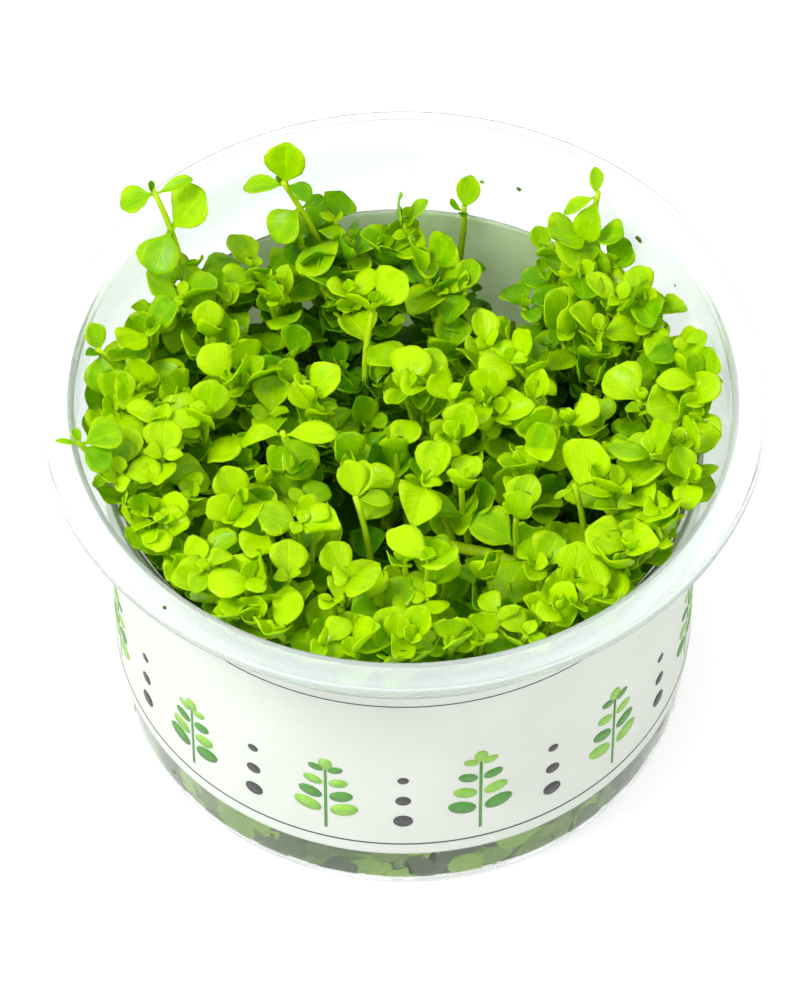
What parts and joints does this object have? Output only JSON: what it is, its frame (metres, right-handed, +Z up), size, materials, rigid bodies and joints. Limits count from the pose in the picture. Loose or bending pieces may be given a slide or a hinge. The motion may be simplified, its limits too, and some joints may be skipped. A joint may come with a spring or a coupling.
{
  "type": "carpeting aquarium plant in a culture cup",
  "caption": "Bright green carpeting aquarium plant with small round leaves, growing in a round clear plastic culture cup with a flanged rim and a plain paper band.",
  "frame": {"origin": "middle of the cup's flat base, on the surface that it stands on", "axes": "+Z up through the middle of the cup, -Y towards the front, +X to the front's right"},
  "size_m": [0.1, 0.1, 0.0723],
  "materials": {
    "clear_plastic": "clear, glossy",
    "label_paper": "matt white paper",
    "clear_gel": "clear soft gel",
    "deep_stems": "soft, shaded plant stems",
    "leaf_green": "soft, slightly glossy leaf"
  },
  "bodies": {
    "root": {"culture_cup": "clear_plastic", "label_band": "label_paper", "nutrient_gel": "clear_gel", "sprig_13": "leaf_green", "sprig_14": "leaf_green", "sprig_15": "leaf_green", "sprig_16": "leaf_green", "sprig_17": "leaf_green", "sprig_18": "leaf_green", "sprig_19": "leaf_green", "sprig_20": "leaf_green", "sprig_21": "leaf_green", "sprig_22": "leaf_green", "sprig_23": "leaf_green", "sprig_24": "leaf_green", "sprig_25": "leaf_green", "sprig_26": "leaf_green", "sprig_27": "leaf_green", "sprig_28": "leaf_green", "sprig_29": "leaf_green", "sprig_30": "leaf_green", "sprig_31": "leaf_green", "sprig_32": "leaf_green", "sprig_33": "leaf_green", "sprig_34": "leaf_green", "sprig_35": "leaf_green", "sprig_36": "leaf_green", "sprig_37": "leaf_green", "sprig_38": "leaf_green", "sprig_39": "leaf_green", "sprig_40": "leaf_green", "sprig_41": "leaf_green", "sprig_42": "leaf_green", "sprig_back_left": "leaf_green", "sprig_back_middle": "leaf_green", "sprig_back_right": "leaf_green", "sprig_back_single": "leaf_green", "sprig_front_middle": "leaf_green", "sprig_front_right": "leaf_green", "sprig_front_rim": "leaf_green", "sprig_left_arch": "leaf_green", "sprig_left_edge": "leaf_green", "sprig_left_over_rim": "leaf_green", "sprig_right_edge": "leaf_green", "sprig_round_leaf": "leaf_green", "stem_mat": "deep_stems"}
  },
  "joints": []
}
